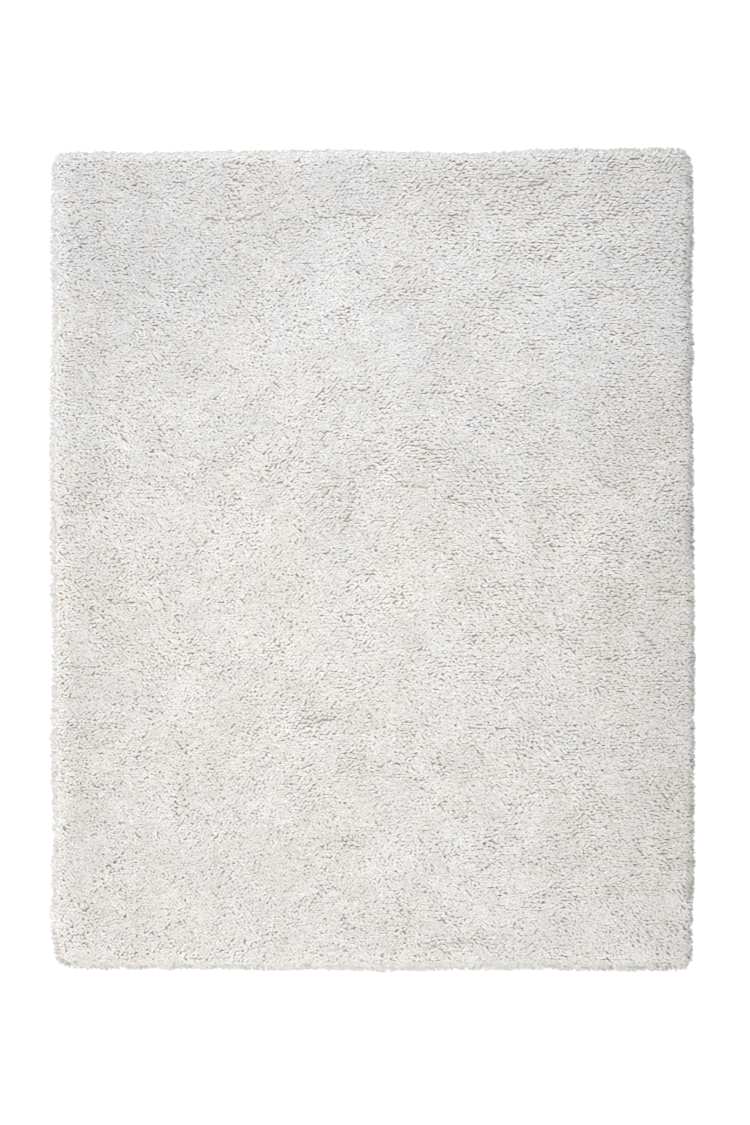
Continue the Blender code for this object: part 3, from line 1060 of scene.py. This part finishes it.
def rim_yarn():
    """The yarn ends that hang out all round the rim, as yarn_piece takes them."""
    count = int(len(OUTLINE) * OUTLINE_STEP / RIM_PITCH)
    place = (np.arange(count) + rng.uniform(-2, 2, count)) / count * len(OUTLINE)
    here = np.floor(place).astype(int) % len(OUTLINE)
    after = (here + 1) % len(OUTLINE)
    part = (place % 1)[:, None]
    outward = unit(OUTLINE_NORMALS[here] * (1 - part) + OUTLINE_NORMALS[after] * part)
    reach = offset_outline(0.0)
    edge = reach[here] * (1 - part) + reach[after] * part
    height = top_height(*edge.T)
    level = rng.uniform(0, 1, count)
    at_corner = 2 * np.abs(outward[:, 0] * outward[:, 1])

    with_lie, at_random, by_clump = RIM_SLIDE
    along = np.column_stack([-outward[:, 1], outward[:, 0]])
    lean, _, _ = lie_of(*edge.T)
    slide = with_lie * (along * toward(lean)).sum(axis=1) * rng.uniform(0.4, 1.2, count)
    slide = slide + at_random * rng.normal(0, 1, count)
    slide = slide + by_clump * noise_at("clumps", *edge.T)
    slip = along * (slide * (1 - at_corner))[:, None]

    insets, shares = zip(*RIM_PROFILE)
    inset = np.interp(level, shares, insets) * by_side(outward, SHOULDER_WIDTHS)
    spray = np.clip(rng.normal(0, 1, count), -1.7, 1.5)
    inset = inset + rim_swell(edge, outward) - spray * by_side(outward, RIM_SPRAY)
    corner = np.array(RIM_CORNERS)[2 * (outward[:, 1] < 0) + (outward[:, 0] >= 0)]
    inset = inset - by_side(outward, RIM_REACH) - corner * at_corner
    root_inset = rng.uniform(*RIM_ROOTS, count) + RIM_ROOTS_IN * level
    root = edge - outward * root_inset[:, None]
    run = (root_inset - inset)[:, None]
    out_by, slid_by = RIM_CREST_PLACE
    middle = root + outward * (out_by * run) + slip * (slid_by * run)
    tip = root + (outward + slip) * run
    foot = RIM_ROOT_LOW + (height - FOOT_DEPTH - RIM_ROOT_DEPTH - RIM_ROOT_LOW) * level
    crest = RIM_CREST_LOW + (height - RIM_CREST_DROP - RIM_CREST_LOW) * level
    fall = plus(RIM_FALL, level) * rng.uniform(0.6, 1.3, count)
    ends = ((root, foot), (middle, crest), (tip, crest - fall))
    width = RIM_WIDTH * rng.uniform(0.8, 1.2, count)
    return {
        "paths": settled(*(np.column_stack(end) for end in ends)),
        "width": width,
        "height": width,
        "roll": np.full(count, YARN_ROLL),
        "lift": by_side(outward, RIM_LIFT),
        # the tone takes in painted light and shade
        "tone": RIM_TONE[0] + rng.normal(0, RIM_TONE[1], count) + painted_light_and_shade(edge),
        "warmth": warmth_at(edge),
    }


def build_pile(body_material, strand_material):
    """All the yarn: the top's locks, as pieces in bands along the rug, and the rim's."""
    locks = top_locks()
    made = [yarn_piece("pile_rim", rim_yarn(), strand_material)]
    for name, pieces, yarn, material in (
        ("pile_lock", 2, lock_bodies(locks), body_material),
        ("pile_yarn", 4, lock_strands(locks), strand_material),
    ):
        order = np.argsort(yarn["paths"][:, 1, 1], kind="stable")
        for band, chosen in enumerate(np.array_split(order, pieces)):
            part = {key: values[chosen] for key, values in yarn.items()}
            made.append(yarn_piece(f"{name}_{band + 1}", part, material))
    return made


# ---- the studio


def build_camera():
    camera = bpy.data.cameras.new("camera")
    camera.sensor_width = SENSOR_MM
    camera.lens = LENS_MM
    seen = bpy.data.objects.new("camera", camera)
    seen.location = (*VIEW_MIDDLE, VIEW_LENGTH * LENS_MM / SENSOR_MM + CAD_SIZE[2] / 3)
    scene.collection.objects.link(seen)
    scene.camera = seen


def build_floor():
    mesh = bpy.data.meshes.new("floor")
    corners = [(x * FLOOR_HALF, y * FLOOR_HALF, 0) for x, y in ((-1, -1), (1, -1), (1, 1), (-1, 1))]
    mesh.from_pydata(corners, [], [(0, 1, 2, 3)])
    material, _, shader = new_material("pale floor", 0.9)
    shader.inputs["Base Color"].default_value = (0.85, 0.85, 0.85, 1.0)
    shader.inputs["Emission Color"].default_value = (1.0, 1.0, 1.0, 1.0)
    shader.inputs["Emission Strength"].default_value = FLOOR_GLOW
    floor = new_object("floor", mesh, material)
    floor.location.z = -0.2 * MM


def build_lights():
    sun = bpy.data.lights.new("window", "SUN")
    sun.energy = WINDOW_STRENGTH
    sun.angle = WINDOW_ANGLE
    window = bpy.data.objects.new("window", sun)
    window.rotation_euler = Vector(WINDOW_DIRECTION).to_track_quat("Z", "Y").to_euler()
    lamp = bpy.data.lights.new("overhead", "AREA")
    lamp.shape = "RECTANGLE"
    lamp.size, lamp.size_y = OVERHEAD_SIZE
    lamp.energy = OVERHEAD_WATTS
    overhead = bpy.data.objects.new("overhead", lamp)
    overhead.location = OVERHEAD_PLACE
    overhead.visible_camera = False
    for light in (window, overhead):
        scene.collection.objects.link(light)
    world = bpy.data.worlds.new("studio")
    world.use_nodes = True
    background = world.node_tree.nodes["Background"]
    background.inputs["Color"].default_value = (1.0, 1.0, 1.0, 1.0)
    background.inputs["Strength"].default_value = SKY_STRENGTH
    scene.world = world
    scene.view_settings.view_transform = "Standard"


# ---- putting it together


def backing_top(x, y):
    return np.full(len(x), BACKING_THICKNESS)


def foot_top(x, y):
    fine, broad = FOOT_BUMPS
    bumps = noise_at("foot", x, y) * fine + noise_at("broad foot", x, y) * broad
    return top_height(x, y) - FOOT_DEPTH + bumps


def main():
    build_camera()
    build_floor()
    build_lights()

    backing_rim = ((BACKING_INSET, 1.0), (BACKING_INSET, 0.0))
    backing = slab("backing", BACKING_CELL, backing_rim, 0.0, backing_top, backing_material())
    foot = slab("pile_foot", FOOT_CELL, FOOT_RIM, BACKING_THICKNESS, foot_top, foot_material())
    # The darker colours given here are the painted shade between the yarn's fibres.
    lock_yarn = yarn_material("ivory yarn in locks", 9.0, (0.90, 0.886, 0.866), 0.9 * MM)
    loose_yarn = yarn_material("loose ivory yarn", 6.0, (0.95, 0.943, 0.932), 0.5 * MM)
    pieces = [foot, *build_pile(lock_yarn, loose_yarn)]
    for piece in [backing, *pieces]:
        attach(piece, "root")
    for piece in pieces:
        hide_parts("rug")


main()
